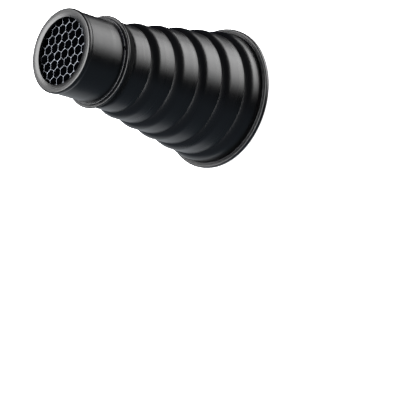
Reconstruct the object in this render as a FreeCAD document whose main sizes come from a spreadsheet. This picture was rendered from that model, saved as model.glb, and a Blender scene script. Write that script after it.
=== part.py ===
import FreeCAD, Part
import os

import Sketcher
from FreeCAD import Placement, Rotation, Vector

# A conical snoot for a bare-bulb camera flash, with a honeycomb grid in a removable front tube.
# Millimetres. The row stands on its rear rim: the origin is the centre of the rear face, +Z runs
# along the snoot's axis towards the front, and the -Y side faces the usual view.

DOCUMENT_NAME = "Snoot"
SHEET = "Sizes"
RIB_COUNT = 6
LUG_COUNT = 3
COLLAR_SCREW_COUNT = 3
FULL_TURN = 360.0
Z_AXIS = Vector(0, 0, 1)
COS_30 = 3 ** 0.5 / 2
HALF = 0.5
HEX_SIDES = 6
HEX_ANGLE = FULL_TURN / HEX_SIDES
AXIS_LINE = 1
# a sketch's own numbers for the points of its lines and circles, and for its origin
START_POINT, END_POINT, CENTRE_POINT = 1, 2, 3
ORIGIN = (-1, 1)

# alias, value, what it is
SIZES = (
    # the spun cone
    ("rim_radius", 47.5, "outer radius of the rear rim"),
    ("flange_width", 3.7, "rim radius less the rearmost land's radius"),
    ("flange_fillet", 0.5, "fillet between the flange and the rearmost land"),
    ("cone_wall", 0.9, "sheet thickness of the cone"),
    ("first_crest", 10.15, "height of the rearmost rib's crest"),
    ("rib_pitch", 17.95, "axial distance from crest to crest"),
    ("rib_arc", 6.3, "axial length of a rib's rounded step"),
    ("neck_drop", 0.3, "last land's radius less the neck's"),
    ("neck_arc", 2.0, "axial length of the last step"),
    ("neck_reach", 8.3, "last crest to the end of the neck"),
    # the rear rim's stack of sheets
    ("binding_wall", 0.55, "sheet thickness of the rim binding"),
    ("binding_corner", 1.2, "rounding of the binding's outer edges"),
    ("plate_thickness", 0.9, "back plate"),
    ("gasket_thickness", 0.25, "fibre gasket under the cone's flange"),
    # the bayonet ring
    ("bayonet_bore", 24.0, "radius of the bore that takes the flash's nose"),
    ("ring_wall", 3.5, "wall of the ring's barrel"),
    ("ring_depth", 6.2, "length of the ring's barrel"),
    ("ring_flange_width", 4.8, "how far the ring's flange stands out from its barrel"),
    ("ring_flange_thickness", 2.4, "thickness of that flange"),
    ("entry_depth", 2.4, "depth of the plain bore before the lugs"),
    ("bore_relief", 0.6, "how much wider the barrel is from the lugs inwards"),
    ("lug_reach", 2.2, "how far a lug stands in from the bore"),
    ("lug_thickness", 2.0, "axial thickness of a lug"),
    ("lug_half_angle", 20.0, "half the angle that a lug covers"),
    ("lug_bite", 0.5, "how far a lug's blank runs into the barrel"),
    ("notch_width", 3.0, "lock pin's notch, across"),
    ("notch_depth", 1.8, "lock pin's notch, into the barrel"),
    ("boss_radius", 1.7, "boss under a leaf spring's fixed end"),
    ("boss_height", 2.4, "height of that boss above the barrel"),
    ("boss_angle", 24.0, "angle from a lug's middle to its spring's boss"),
    # the leaf springs
    ("leaf_thickness", 0.4, "spring strip"),
    ("leaf_width", 4.0, "width of the strip, along the radius"),
    ("leaf_offset", 0.1, "strip's inner edge, outside the lug's inner edge"),
    ("leaf_tail", 2.4, "strip behind its screw"),
    ("leaf_seat", 2.2, "flat strip in front of its screw"),
    ("leaf_slope", 6.2, "length of the strip's slope"),
    ("leaf_pad", 4.5, "flat stretch that presses on the flash's lug"),
    ("leaf_tip", 4.2, "turned-up tip"),
    ("leaf_tip_rise", 0.95, "rise of that tip"),
    ("leaf_clearance", 0.2, "strip above the ring's barrel"),
    # screws
    ("ring_screw_radius", 1.25, "screws that hold the bayonet ring"),
    ("ring_screw_head", 2.3, "radius of their countersunk heads"),
    ("ring_screw_length", 2.9, "their length"),
    ("ring_screw_slot", 0.6, "width and depth of a screw's slot"),
    ("leaf_screw_radius", 0.8, "screws that hold the leaf springs"),
    ("leaf_screw_head", 1.5, "radius of their heads"),
    ("leaf_screw_head_height", 0.9, "height of their heads"),
    ("leaf_screw_length", 3.4, "length under the head"),
    ("collar_screw_radius", 0.9, "grub screws that hold the collar"),
    ("collar_screw_bite", 0.5, "their reach into the neck's wall"),
    # the collar round the neck
    ("collar_wall", 0.35, "wall of the collar's skirt"),
    ("collar_skirt", 4.9, "length of the skirt behind the lip"),
    ("lip_height", 2.05, "how far the lip stands out from the neck"),
    ("lip_thickness", 1.7, "axial thickness of the lip"),
    ("lip_rounding", 0.75, "rounding of the lip's edges"),
    ("collar_front_wall", 0.6, "collar in front of the neck's end"),
    # the grid tube
    ("tube_radius", 26.7, "outer radius of the grid tube"),
    ("tube_wall", 0.9, "wall of the grid tube"),
    ("tube_reach", 30.0, "collar's front face to the front of the snoot"),
    ("tube_tail", 13.5, "grid tube inside the neck"),
    ("bead_start", 4.9, "front face to the start of the front bead"),
    ("bead_crest", 1.75, "front face to the bead's widest place"),
    ("bead_height", 0.55, "how far the bead stands out from the tube"),
    ("bead_rounding", 1.7, "rounding of the bead's front corner"),
    ("face_width", 5.1, "width of the front face, from the tube's outer radius"),
    ("face_dish", 0.6, "fall of the front face towards the opening"),
    ("face_thickness", 0.8, "sheet at the opening's edge"),
    ("felt_thickness", 0.32, "felt band on the tube's tail"),
    ("felt_length", 11.0, "length of the felt band"),
    ("felt_setback", 1.5, "tail's end to the felt band"),
    ("felt_clearance", 0.08, "radial room between felt and neck"),
    # the split stop ring
    ("ring_groove", 0.3, "depth of the grooves for the two split rings"),
    ("stop_ring_width", 1.85, "radial width of the stop ring"),
    ("stop_ring_height", 1.3, "axial height of the stop ring"),
    ("stop_ring_rounding", 0.45, "rounding of its front outer edge"),
    ("stop_ring_gap", 4.0, "angle of its gap"),
    ("stop_ring_gap_angle", -65.7, "where the gap is, round the axis from +X"),
    ("running_clearance", 0.05, "room between pieces that turn or slide on each other"),
    # the honeycomb and what holds it
    ("spacer_height", 1.4, "spacer between the front face and the honeycomb's hoop"),
    ("spacer_setback", 0.4, "spacer's bore, outside the opening's radius"),
    ("hoop_wall", 0.4, "sheet of the honeycomb's hoop"),
    ("hoop_lip", 1.2, "radial width of the hoop's lips"),
    ("hoop_clearance", 0.05, "room between hoop and tube"),
    ("core_depth", 10.0, "depth of the honeycomb"),
    ("core_rim", 0.4, "foil band round the honeycomb"),
    ("cell_pitch", 6.35, "distance between cells, flat to flat"),
    ("cell_wall", 0.4, "wall between cells"),
    ("cell_turn", -12.0, "direction from one cell to the next, from +X"),
    ("cell_shift_x", -1.35, "middle cell's place off the axis"),
    ("cell_shift_y", -0.75, "middle cell's place off the axis"),
    ("washer_thickness", 0.5, "washer behind the hoop"),
    ("washer_width", 1.0, "its radial width"),
    ("snap_wire", 0.6, "wire radius of the internal snap ring"),
    ("snap_gap", 24.0, "angle of its gap"),
)


def fill_sheet(doc):
    """The spreadsheet of driving sizes: value in column B, named by its alias."""
    sheet = doc.addObject("Spreadsheet::Sheet", SHEET)
    for row, (alias, value, meaning) in enumerate(SIZES, start=1):
        sheet.set(f"A{row}", alias)
        sheet.set(f"B{row}", str(value))
        sheet.setAlias(f"B{row}", alias)
        sheet.set(f"C{row}", meaning)
    doc.recompute()
    return sheet


def cell(alias):
    """The expression that reads one size."""
    return f"{SHEET}.{alias}"


def total(*terms):
    """The expression for a sum of sizes and expressions."""
    return "(" + " + ".join(cell(t) if t.isidentifier() else t for t in terms) + ")"


def less(first, *terms):
    """The expression for a first size or expression, less the others."""
    return "(" + total(first) + " - " + total(*terms) + ")"


def half(term):
    """The expression for half of one size or expression."""
    return f"({total(term)} / 2)"


# Places that several pieces share, each as one expression.
PLATE_REAR = total("binding_wall")
PLATE_FRONT = total(PLATE_REAR, "plate_thickness")
FLANGE_REAR = total(PLATE_FRONT, "gasket_thickness")
FLANGE_FRONT = total(FLANGE_REAR, "cone_wall")
RIM_FRONT = total(FLANGE_FRONT, "binding_wall")
SHEET_RADIUS = less("rim_radius", "binding_wall")
ROOT_LAND = less("rim_radius", "flange_width")
BINDING_BORE = total(ROOT_LAND, "flange_fillet", "running_clearance")

FELT_RADIUS = total("tube_radius", "felt_thickness")
NECK_BORE = total(FELT_RADIUS, "felt_clearance")
NECK_RADIUS = total(NECK_BORE, "cone_wall")
FRONT_LAND = total(NECK_RADIUS, "neck_drop")
LAND_STEP = f"(({ROOT_LAND} - {FRONT_LAND}) / {RIB_COUNT - 1})"
LAST_CREST = f"({cell('first_crest')} + {RIB_COUNT - 1} * {cell('rib_pitch')})"
NECK_END = total(LAST_CREST, "neck_reach")
COLLAR_FRONT = total(NECK_END, "collar_front_wall")
LIP_REAR = less(COLLAR_FRONT, "lip_thickness")
SKIRT_REAR = less(LIP_REAR, "collar_skirt")
SKIRT_RADIUS = total(NECK_RADIUS, "collar_wall")
LIP_RADIUS = total(NECK_RADIUS, "lip_height")

RING_RADIUS = total("bayonet_bore", "ring_wall")
RING_FLANGE_RADIUS = total(RING_RADIUS, "ring_flange_width")
RING_SCREW_CIRCLE = total(RING_RADIUS, half("ring_flange_width"))
RING_TOP = total(PLATE_REAR, "ring_depth")
LUG_RADIUS = less("bayonet_bore", "lug_reach")
LUG_REAR = total(PLATE_REAR, "entry_depth")
LUG_SPACE_RADIUS = total("bayonet_bore", "bore_relief")
BOSS_CIRCLE = total("bayonet_bore", half("ring_wall"))
BOSS_TOP = total(RING_TOP, "boss_height")
BOSS_ALONG = f"({BOSS_CIRCLE} * cos({cell('boss_angle')} * 1 deg))"
BOSS_ACROSS = f"(-{BOSS_CIRCLE} * sin({cell('boss_angle')} * 1 deg))"

TUBE_BORE = less("tube_radius", "tube_wall")
TUBE_FRONT = total(COLLAR_FRONT, "tube_reach")
TUBE_TAIL = less(COLLAR_FRONT, "tube_tail")
BEAD_RADIUS = total("tube_radius", "bead_height")
OPENING_RADIUS = less("tube_radius", "face_width")
FACE_BACK = less(TUBE_FRONT, "face_dish", "face_thickness")
HOOP_FRONT = less(FACE_BACK, "spacer_height")
HOOP_RADIUS = less(TUBE_BORE, "hoop_clearance")
CORE_FRONT = less(HOOP_FRONT, "hoop_wall")
CORE_REAR = less(CORE_FRONT, "core_depth")
CORE_RADIUS = less(HOOP_RADIUS, "hoop_wall")
HOOP_REAR = less(CORE_REAR, "hoop_wall")
WASHER_REAR = less(HOOP_REAR, "washer_thickness")
SNAP_CENTRE = less(WASHER_REAR, "snap_wire")
SNAP_CIRCLE = less(total(TUBE_BORE, "ring_groove"), "snap_wire")
STOP_GROOVE_FLOOR = less("tube_radius", "ring_groove")
STOP_RING_REAR = total(COLLAR_FRONT, "running_clearance")
STOP_RING_FRONT = total(STOP_RING_REAR, "stop_ring_height")
STOP_RING_BORE = total(STOP_GROOVE_FLOOR, "running_clearance")
STOP_RING_RADIUS = total(STOP_RING_BORE, "stop_ring_width")


def value_of(expression):
    """The number that an expression gives now."""
    sheet = FreeCAD.ActiveDocument.getObject(SHEET)
    return float(sheet.evalExpression(expression))


def new_body(name):
    """An empty body whose label names the sub-part."""
    body = FreeCAD.ActiveDocument.addObject("PartDesign::Body", name)
    body.Label = name
    body.AllowCompound = True
    return body


def origin_item(body, role):
    """A plane or an axis of the body's own origin."""
    return next(item for item in body.Origin.OriginFeatures if item.Role == role)


def flat_sketch(body, name, plane, offset=None):
    """A sketch on one of the body's origin planes, moved along its normal by an expression."""
    sketch = body.newObject("Sketcher::SketchObject", f"{body.Name}_{name}")
    sketch.AttachmentSupport = (origin_item(body, plane), [""])
    sketch.MapMode = "FlatFace"
    if offset is not None:
        sketch.AttachmentOffset = Placement(Vector(0, 0, value_of(offset)), Rotation())
        sketch.setExpression(".AttachmentOffset.Base.z", offset)
    return sketch


def hold_point(sketch, geometry, end, across, up):
    """Ties one end of an edge to two expressions, as distances from the sketch's origin."""
    for kind, expression in (("DistanceX", across), ("DistanceY", up)):
        constraint = Sketcher.Constraint(kind, -1, 1, geometry, end, value_of(expression))
        index = sketch.addConstraint(constraint)
        sketch.setExpression(f"Constraints[{index}]", expression)


def arc_between(start, finish, radius, turn):
    """The arc of a given radius from start to finish: turn is 1 anticlockwise, -1 clockwise."""
    chord = finish - start
    reach = chord.Length / 2
    height = max(radius * radius - reach * reach, 0.0) ** 0.5
    side = Vector(-chord.y, chord.x, 0).normalize() * turn
    centre = (start + finish) / 2 + side * height
    middle = centre - side * radius
    return Part.Arc(start, middle, finish)


def outline(sketch, corners, arcs=None):
    """A closed chain of edges through the corners, each corner a pair of expressions.

    arcs names the edges that are arcs, by the corner that they start from, with the radius
    as an expression and the turn: 1 anticlockwise, -1 clockwise.
    """
    arcs = arcs or {}
    points = [Vector(value_of(across), value_of(up), 0) for across, up in corners]
    starts = []
    for index, start in enumerate(points):
        finish = points[(index + 1) % len(points)]
        if index in arcs:
            radius, turn = arcs[index]
            geometry = sketch.addGeometry(arc_between(start, finish, value_of(radius), turn))
            constraint = Sketcher.Constraint("Radius", geometry, value_of(radius))
            number = sketch.addConstraint(constraint)
            sketch.setExpression(f"Constraints[{number}]", radius)
            starts.append((geometry, START_POINT if turn > 0 else END_POINT))
        else:
            geometry = sketch.addGeometry(Part.LineSegment(start, finish))
            starts.append((geometry, START_POINT))
    for index, (geometry, start_end) in enumerate(starts):
        before, before_start = starts[index - 1]
        before_end = END_POINT if before_start == START_POINT else START_POINT
        sketch.addConstraint(
            Sketcher.Constraint("Coincident", before, before_end, geometry, start_end)
        )
    for (geometry, start_end), (across, up) in zip(starts, corners):
        hold_point(sketch, geometry, start_end, across, up)
    return sketch


def ring_of_circles(sketch, *radii):
    """Circles about the sketch's origin, one for each radius expression."""
    for radius in radii:
        circle_at(sketch, "0", "0", radius)


def circle_at(sketch, across, up, radius):
    """A circle with its centre and radius tied to expressions."""
    centre = Vector(value_of(across), value_of(up), 0)
    geometry = sketch.addGeometry(Part.Circle(centre, Z_AXIS, value_of(radius)))
    number = sketch.addConstraint(Sketcher.Constraint("Radius", geometry, value_of(radius)))
    sketch.setExpression(f"Constraints[{number}]", radius)
    if across == "0" and up == "0":
        sketch.addConstraint(
            Sketcher.Constraint("Coincident", geometry, CENTRE_POINT, *ORIGIN)
        )
    else:
        hold_point(sketch, geometry, CENTRE_POINT, across, up)
    return sketch


def revolve(body, sketch, angle=None, kind="Revolution", axis="V_Axis"):
    """A revolution, or a groove, of the sketch about the upright axis or one of its own."""
    feature = body.newObject(f"PartDesign::{kind}", f"{sketch.Name}_{kind}")
    feature.Profile = sketch
    feature.ReferenceAxis = (sketch, [axis])
    feature.Angle = FULL_TURN
    if angle is not None:
        feature.setExpression("Angle", angle)
    sketch.Visibility = False
    return feature


def pad(body, sketch, length):
    """The sketch, made thick by an expression along its normal."""
    feature = body.newObject("PartDesign::Pad", f"{sketch.Name}_Pad")
    feature.Profile = sketch
    feature.setExpression("Length", length)
    return feature


def pocket(body, sketch, length, forwards=True):
    """A pocket of a given depth, forwards along the sketch's normal or against it."""
    feature = body.newObject("PartDesign::Pocket", f"{sketch.Name}_Pocket")
    feature.Profile = sketch
    feature.Reversed = forwards
    feature.setExpression("Length", length)
    return feature


def repeat_round(body, features, count, name):
    """Repeats features evenly round the body's Z axis."""
    pattern = body.newObject("PartDesign::PolarPattern", f"{body.Name}_{name}")
    pattern.Originals = features
    pattern.Axis = (origin_item(body, "Z_Axis"), [""])
    pattern.Angle = FULL_TURN
    pattern.Occurrences = count
    body.Tip = pattern
    return pattern


def rectangle(left, right, low, high):
    """The four corners of an upright rectangle, anticlockwise."""
    return [(left, low), (right, low), (right, high), (left, high)]


def plain_ring(name, inner, outer, low, high):
    """A body that is a plain ring of rectangular section."""
    body = new_body(name)
    sketch = flat_sketch(body, "section", "XZ_Plane")
    outline(sketch, rectangle(inner, outer, low, high))
    revolve(body, sketch)
    return body


def turn_about_axis(body, angle):
    """Turns a finished body about Z by an expression in degrees."""
    body.Placement = Placement(Vector(), Rotation(Z_AXIS, value_of(angle)))
    body.setExpression(".Placement.Rotation.Angle", f"({angle}) * 1 deg")


def land_radius(rib):
    """The radius of a rib's cylindrical land, counted from the rear."""
    return f"({ROOT_LAND} - {rib} * {LAND_STEP})"


def crest_height(rib):
    """The height at which a rib's land meets its rounded step."""
    return f"({cell('first_crest')} + {rib} * {cell('rib_pitch')})"


def step_radius(run, drop):
    """The arc that is level at its crest and falls by drop over run."""
    return f"(({run} ^ 2 + {drop} ^ 2) / (2 * {drop}))"


def inner_run(radius, drop):
    """How far the parallel inner arc of that radius runs while it falls by drop."""
    return f"sqrt(2 * {radius} * {drop} - {drop} ^ 2)"


def cone_shell():
    """The spun cone: a rear flange, six stepped ribs and the neck, all one sheet thick.

    Each rib is a cylindrical land, then an arc that is level at the crest and falls to a
    sharp valley, where the next, smaller land starts.
    """
    wall = cell("cone_wall")
    outer = [
        (SHEET_RADIUS, FLANGE_REAR),
        (SHEET_RADIUS, FLANGE_FRONT),
        (total(ROOT_LAND, "flange_fillet"), FLANGE_FRONT),
        (ROOT_LAND, total(FLANGE_FRONT, "flange_fillet")),
    ]
    arcs = {2: (cell("flange_fillet"), -1)}
    inner = []
    inner_arcs = []
    for rib in range(RIB_COUNT):
        last = rib == RIB_COUNT - 1
        land, height = land_radius(rib), crest_height(rib)
        next_land = NECK_RADIUS if last else land_radius(rib + 1)
        run = cell("neck_arc") if last else cell("rib_arc")
        drop = cell("neck_drop") if last else LAND_STEP
        radius = step_radius(run, drop)
        parallel = f"({radius} - {wall})"
        arcs[len(outer)] = (radius, 1)
        outer += [(land, height), (next_land, total(height, run))]
        inner += [
            (f"({land} - {wall})", height),
            (f"({next_land} - {wall})", total(height, inner_run(parallel, drop))),
        ]
        inner_arcs.append(parallel)
    outer += [(NECK_RADIUS, NECK_END), (NECK_BORE, NECK_END)]
    corners = outer + inner[::-1] + [(f"({ROOT_LAND} - {wall})", FLANGE_REAR)]
    for number, parallel in enumerate(reversed(inner_arcs)):
        arcs[len(outer) + 2 * number] = (parallel, -1)
    body = new_body("cone_shell")
    revolve(body, outline(flat_sketch(body, "section", "XZ_Plane"), corners, arcs))
    seat = flat_sketch(body, "screw_seat", "YZ_Plane", NECK_RADIUS)
    circle_at(seat, "0", half(total(SKIRT_REAR, LIP_REAR)), cell("collar_screw_radius"))
    cut = pocket(body, seat, cell("collar_screw_bite"), forwards=False)
    repeat_round(body, [cut], COLLAR_SCREW_COUNT, "screw_seats")
    return body


def rim_binding():
    """The channel that is rolled over the cone's flange and the back plate."""
    inner = BINDING_BORE
    corner = cell("binding_corner")
    corners = [
        (inner, "0"),
        (less("rim_radius", "binding_corner"), "0"),
        (cell("rim_radius"), corner),
        (cell("rim_radius"), less(RIM_FRONT, "binding_corner")),
        (less("rim_radius", "binding_corner"), RIM_FRONT),
        (inner, RIM_FRONT),
        (inner, FLANGE_FRONT),
        (SHEET_RADIUS, FLANGE_FRONT),
        (SHEET_RADIUS, PLATE_REAR),
        (inner, PLATE_REAR),
    ]
    body = new_body("rim_binding")
    sketch = flat_sketch(body, "section", "XZ_Plane")
    revolve(body, outline(sketch, corners, {1: (corner, 1), 3: (corner, 1)}))
    return body


def back_plate():
    """The flat plate behind the cone, with countersunk holes for the bayonet ring's screws."""
    body = new_body("back_plate")
    disc = flat_sketch(body, "disc", "XY_Plane", PLATE_REAR)
    ring_of_circles(disc, SHEET_RADIUS, RING_RADIUS)
    pad(body, disc, cell("plate_thickness"))
    corners = [
        (RING_SCREW_CIRCLE, PLATE_REAR),
        (total(RING_SCREW_CIRCLE, "ring_screw_head"), PLATE_REAR),
        (total(RING_SCREW_CIRCLE, "ring_screw_radius"), PLATE_FRONT),
        (RING_SCREW_CIRCLE, PLATE_FRONT),
    ]
    sketch = flat_sketch(body, "countersink", "XZ_Plane")
    outline(sketch, corners)
    add_upright_axis(sketch, RING_SCREW_CIRCLE)
    hole = revolve(body, sketch, kind="Groove", axis="Axis0")
    repeat_round(body, [hole], LUG_COUNT, "countersinks")
    return body


def add_upright_axis(sketch, across):
    """A construction line parallel to the sketch's upright axis, as an axis to revolve about."""
    place = value_of(across)
    line = Part.LineSegment(Vector(place, 0, 0), Vector(place, AXIS_LINE, 0))
    geometry = sketch.addGeometry(line, True)
    hold_point(sketch, geometry, START_POINT, across, "0")
    hold_point(sketch, geometry, END_POINT, across, f"{AXIS_LINE}")


def plate_gasket():
    """The fibre gasket that is pinched between the cone's flange and the back plate."""
    inner = less(ROOT_LAND, "cone_wall")
    return plain_ring("plate_gasket", inner, SHEET_RADIUS, PLATE_FRONT, FLANGE_REAR)


def on_circle(radius, angle):
    """A point on a circle as a pair of expressions, with the angle in degrees."""
    return f"({radius} * cos(({angle}) * 1 deg))", f"({radius} * sin(({angle}) * 1 deg))"


def bayonet_ring():
    """The cast ring that takes the flash's nose: barrel, flange, three lugs, three bosses."""
    body = new_body("bayonet_ring")
    flange_top = total(PLATE_FRONT, "ring_flange_thickness")
    corners = [
        (cell("bayonet_bore"), PLATE_REAR),
        (RING_RADIUS, PLATE_REAR),
        (RING_RADIUS, PLATE_FRONT),
        (RING_FLANGE_RADIUS, PLATE_FRONT),
        (RING_FLANGE_RADIUS, flange_top),
        (RING_RADIUS, flange_top),
        (RING_RADIUS, RING_TOP),
        (LUG_SPACE_RADIUS, RING_TOP),
        (LUG_SPACE_RADIUS, LUG_REAR),
        (cell("bayonet_bore"), LUG_REAR),
    ]
    revolve(body, outline(flat_sketch(body, "section", "XZ_Plane"), corners))

    spread = cell("lug_half_angle")
    root = total(LUG_SPACE_RADIUS, "lug_bite")
    middle = half_pitch_angle()
    low, high = f"{middle} - {spread}", f"{middle} + {spread}"
    corners = [
        on_circle(LUG_RADIUS, low),
        on_circle(root, low),
        on_circle(root, high),
        on_circle(LUG_RADIUS, high),
    ]
    sketch = flat_sketch(body, "lug", "XY_Plane", LUG_REAR)
    outline(sketch, corners, {1: (root, 1), 3: (LUG_RADIUS, -1)})
    lug = pad(body, sketch, cell("lug_thickness"))
    repeat_round(body, [lug], LUG_COUNT, "lugs")

    sketch = flat_sketch(body, "boss", "XY_Plane", RING_TOP)
    across, up = on_circle(BOSS_CIRCLE, f"{middle} - {cell('boss_angle')}")
    circle_at(sketch, across, up, cell("boss_radius"))
    boss = pad(body, sketch, cell("boss_height"))
    repeat_round(body, [boss], LUG_COUNT, "bosses")

    sketch = flat_sketch(body, "boss_hole", "XY_Plane", BOSS_TOP)
    circle_at(sketch, across, up, cell("leaf_screw_radius"))
    thread = less("leaf_screw_length", "leaf_thickness")
    hole = pocket(body, sketch, thread, forwards=False)
    repeat_round(body, [hole], LUG_COUNT, "boss_holes")

    sketch = flat_sketch(body, "flange_hole", "XY_Plane", PLATE_FRONT)
    circle_at(sketch, RING_SCREW_CIRCLE, "0", cell("ring_screw_radius"))
    hole = pocket(body, sketch, less("ring_screw_length", "plate_thickness"))
    repeat_round(body, [hole], LUG_COUNT, "flange_holes")

    sketch = flat_sketch(body, "notch", "XY_Plane", PLATE_REAR)
    side = half("notch_width")
    root = total("bayonet_bore", "notch_depth")
    start = less("bayonet_bore", "notch_depth")
    outline(sketch, rectangle(start, root, f"-{side}", side))
    pocket(body, sketch, cell("entry_depth"))
    return body


def half_pitch_angle():
    """Half the angle between two lugs, in degrees."""
    return str(FULL_TURN / LUG_COUNT / 2)


def leaf_spring(number):
    """A bent strip that presses a flash lug against the ring's lug, screwed down at one end."""
    rear_edge = less(BOSS_ACROSS, "leaf_tail")
    seat_end = total(BOSS_ACROSS, "leaf_seat")
    slope_end = total(seat_end, "leaf_slope")
    pad_end = total(slope_end, "leaf_pad")
    tip_end = total(pad_end, "leaf_tip")
    pad_height = total(RING_TOP, "leaf_clearance")
    line = [
        (rear_edge, BOSS_TOP),
        (seat_end, BOSS_TOP),
        (slope_end, pad_height),
        (pad_end, pad_height),
        (tip_end, total(pad_height, "leaf_tip_rise")),
    ]
    upper = [(across, total(up, "leaf_thickness")) for across, up in reversed(line)]
    body = new_body(f"leaf_spring_{number + 1}")
    inner = total(LUG_RADIUS, "leaf_offset")
    sketch = outline(flat_sketch(body, "strip", "YZ_Plane", inner), line + upper)
    pad(body, sketch, cell("leaf_width"))
    hole = flat_sketch(body, "screw_hole", "XY_Plane", BOSS_TOP)
    circle_at(hole, BOSS_ALONG, BOSS_ACROSS, cell("leaf_screw_radius"))
    pocket(body, hole, cell("leaf_thickness"))
    turn_about_axis(body, f"{half_pitch_angle()} + {number} * {FULL_TURN / LUG_COUNT}")
    return body


def spring_screws():
    """The round-headed screws through the leaf springs' fixed ends, one for each spring."""
    head_rear = total(BOSS_TOP, "leaf_thickness")
    tip = less(head_rear, "leaf_screw_length")
    head_front = total(head_rear, "leaf_screw_head_height")
    axis = BOSS_CIRCLE
    shank_edge = total(axis, "leaf_screw_radius")
    head_edge = total(axis, "leaf_screw_head")
    corners = [
        (axis, tip),
        (shank_edge, tip),
        (shank_edge, head_rear),
        (head_edge, head_rear),
        (head_edge, less(head_front, "leaf_thickness")),
        (less(head_edge, "leaf_thickness"), head_front),
        (axis, head_front),
    ]
    body = new_body("spring_screws")
    sketch = flat_sketch(body, "section", "XZ_Plane")
    outline(sketch, corners, {4: (cell("leaf_thickness"), 1)})
    add_upright_axis(sketch, axis)
    screw = revolve(body, sketch, axis="Axis0")
    repeat_round(body, [screw], LUG_COUNT, "set")
    turn_about_axis(body, f"{half_pitch_angle()} - {cell('boss_angle')}")
    return body


def bayonet_screws():
    """The countersunk, slotted screws that hold the bayonet ring to the back plate."""
    axis = RING_SCREW_CIRCLE
    tip = total(PLATE_REAR, "ring_screw_length")
    shank_edge = total(axis, "ring_screw_radius")
    corners = [
        (axis, PLATE_REAR),
        (total(axis, "ring_screw_head"), PLATE_REAR),
        (shank_edge, PLATE_FRONT),
        (shank_edge, tip),
        (axis, tip),
    ]
    body = new_body("bayonet_screws")
    sketch = outline(flat_sketch(body, "section", "XZ_Plane"), corners)
    add_upright_axis(sketch, axis)
    screw = revolve(body, sketch, axis="Axis0")
    slot = flat_sketch(body, "slot", "XY_Plane", PLATE_REAR)
    reach, side = cell("ring_screw_head"), half("ring_screw_slot")
    outline(slot, rectangle(less(axis, reach), total(axis, reach), f"-{side}", side))
    cut = pocket(body, slot, cell("ring_screw_slot"))
    repeat_round(body, [screw, cut], LUG_COUNT, "set")
    return body


def neck_collar():
    """The turned collar round the neck: a skirt, a rounded lip and a wall over the neck's end."""
    rounding = cell("lip_rounding")
    corners = [
        (NECK_RADIUS, SKIRT_REAR),
        (SKIRT_RADIUS, SKIRT_REAR),
        (SKIRT_RADIUS, LIP_REAR),
        (less(LIP_RADIUS, "lip_rounding"), LIP_REAR),
        (LIP_RADIUS, total(LIP_REAR, "lip_rounding")),
        (LIP_RADIUS, less(COLLAR_FRONT, "lip_rounding")),
        (less(LIP_RADIUS, "lip_rounding"), COLLAR_FRONT),
        (NECK_BORE, COLLAR_FRONT),
        (NECK_BORE, NECK_END),
        (NECK_RADIUS, NECK_END),
    ]
    body = new_body("neck_collar")
    sketch = flat_sketch(body, "section", "XZ_Plane")
    revolve(body, outline(sketch, corners, {3: (rounding, 1), 5: (rounding, 1)}))
    hole = flat_sketch(body, "screw_hole", "YZ_Plane", SKIRT_RADIUS)
    circle_at(hole, "0", half(total(SKIRT_REAR, LIP_REAR)), cell("collar_screw_radius"))
    cut = pocket(body, hole, total("collar_wall", "collar_screw_radius"), forwards=False)
    repeat_round(body, [cut], COLLAR_SCREW_COUNT, "screw_holes")
    return body


def collar_screws():
    """The grub screws that run through the collar's skirt into the neck, a little below flush."""
    body = new_body("collar_screws")
    tip = less(NECK_RADIUS, "collar_screw_bite")
    sketch = flat_sketch(body, "section", "YZ_Plane", tip)
    circle_at(sketch, "0", half(total(SKIRT_REAR, LIP_REAR)), cell("collar_screw_radius"))
    screw = pad(body, sketch, less(SKIRT_RADIUS, tip, "running_clearance"))
    repeat_round(body, [screw], COLLAR_SCREW_COUNT, "set")
    return body


def stop_ring():
    """The split ring that sits in the tube's groove and stops it against the collar."""
    rounding = cell("stop_ring_rounding")
    corners = [
        (STOP_RING_BORE, STOP_RING_REAR),
        (STOP_RING_RADIUS, STOP_RING_REAR),
        (STOP_RING_RADIUS, less(STOP_RING_FRONT, "stop_ring_rounding")),
        (less(STOP_RING_RADIUS, "stop_ring_rounding"), STOP_RING_FRONT),
        (STOP_RING_BORE, STOP_RING_FRONT),
    ]
    body = new_body("stop_ring")
    sketch = flat_sketch(body, "section", "XZ_Plane")
    outline(sketch, corners, {2: (rounding, 1)})
    revolve(body, sketch, angle=less(str(FULL_TURN), "stop_ring_gap"))
    turn_about_axis(body, f"{cell('stop_ring_gap_angle')} + {half('stop_ring_gap')}")
    return body


def grid_tube():
    """The front tube: a straight tail, a groove for the stop ring, and a beaded front face."""
    run, rise = less("bead_start", "bead_crest"), cell("bead_height")
    bead_arc = f"(({run} ^ 2 + {rise} ^ 2) / (2 * {rise}))"
    rounding = cell("bead_rounding")
    groove_front = total(STOP_RING_FRONT, "running_clearance")
    snap_rear = less(SNAP_CENTRE, "snap_wire")
    snap_floor = total(TUBE_BORE, "ring_groove")
    corners = [
        (TUBE_BORE, TUBE_TAIL),
        (cell("tube_radius"), TUBE_TAIL),
        (cell("tube_radius"), COLLAR_FRONT),
        (STOP_GROOVE_FLOOR, COLLAR_FRONT),
        (STOP_GROOVE_FLOOR, groove_front),
        (cell("tube_radius"), groove_front),
        (cell("tube_radius"), less(TUBE_FRONT, "bead_start")),
        (BEAD_RADIUS, less(TUBE_FRONT, "bead_crest")),
        (BEAD_RADIUS, less(TUBE_FRONT, "bead_rounding")),
        (less(BEAD_RADIUS, "bead_rounding"), TUBE_FRONT),
        (OPENING_RADIUS, less(TUBE_FRONT, "face_dish")),
        (OPENING_RADIUS, FACE_BACK),
        (TUBE_BORE, FACE_BACK),
        (TUBE_BORE, WASHER_REAR),
        (snap_floor, WASHER_REAR),
        (snap_floor, snap_rear),
        (TUBE_BORE, snap_rear),
    ]
    body = new_body("grid_tube")
    sketch = flat_sketch(body, "section", "XZ_Plane")
    revolve(body, outline(sketch, corners, {6: (bead_arc, 1), 8: (rounding, 1)}))
    return body


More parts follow.
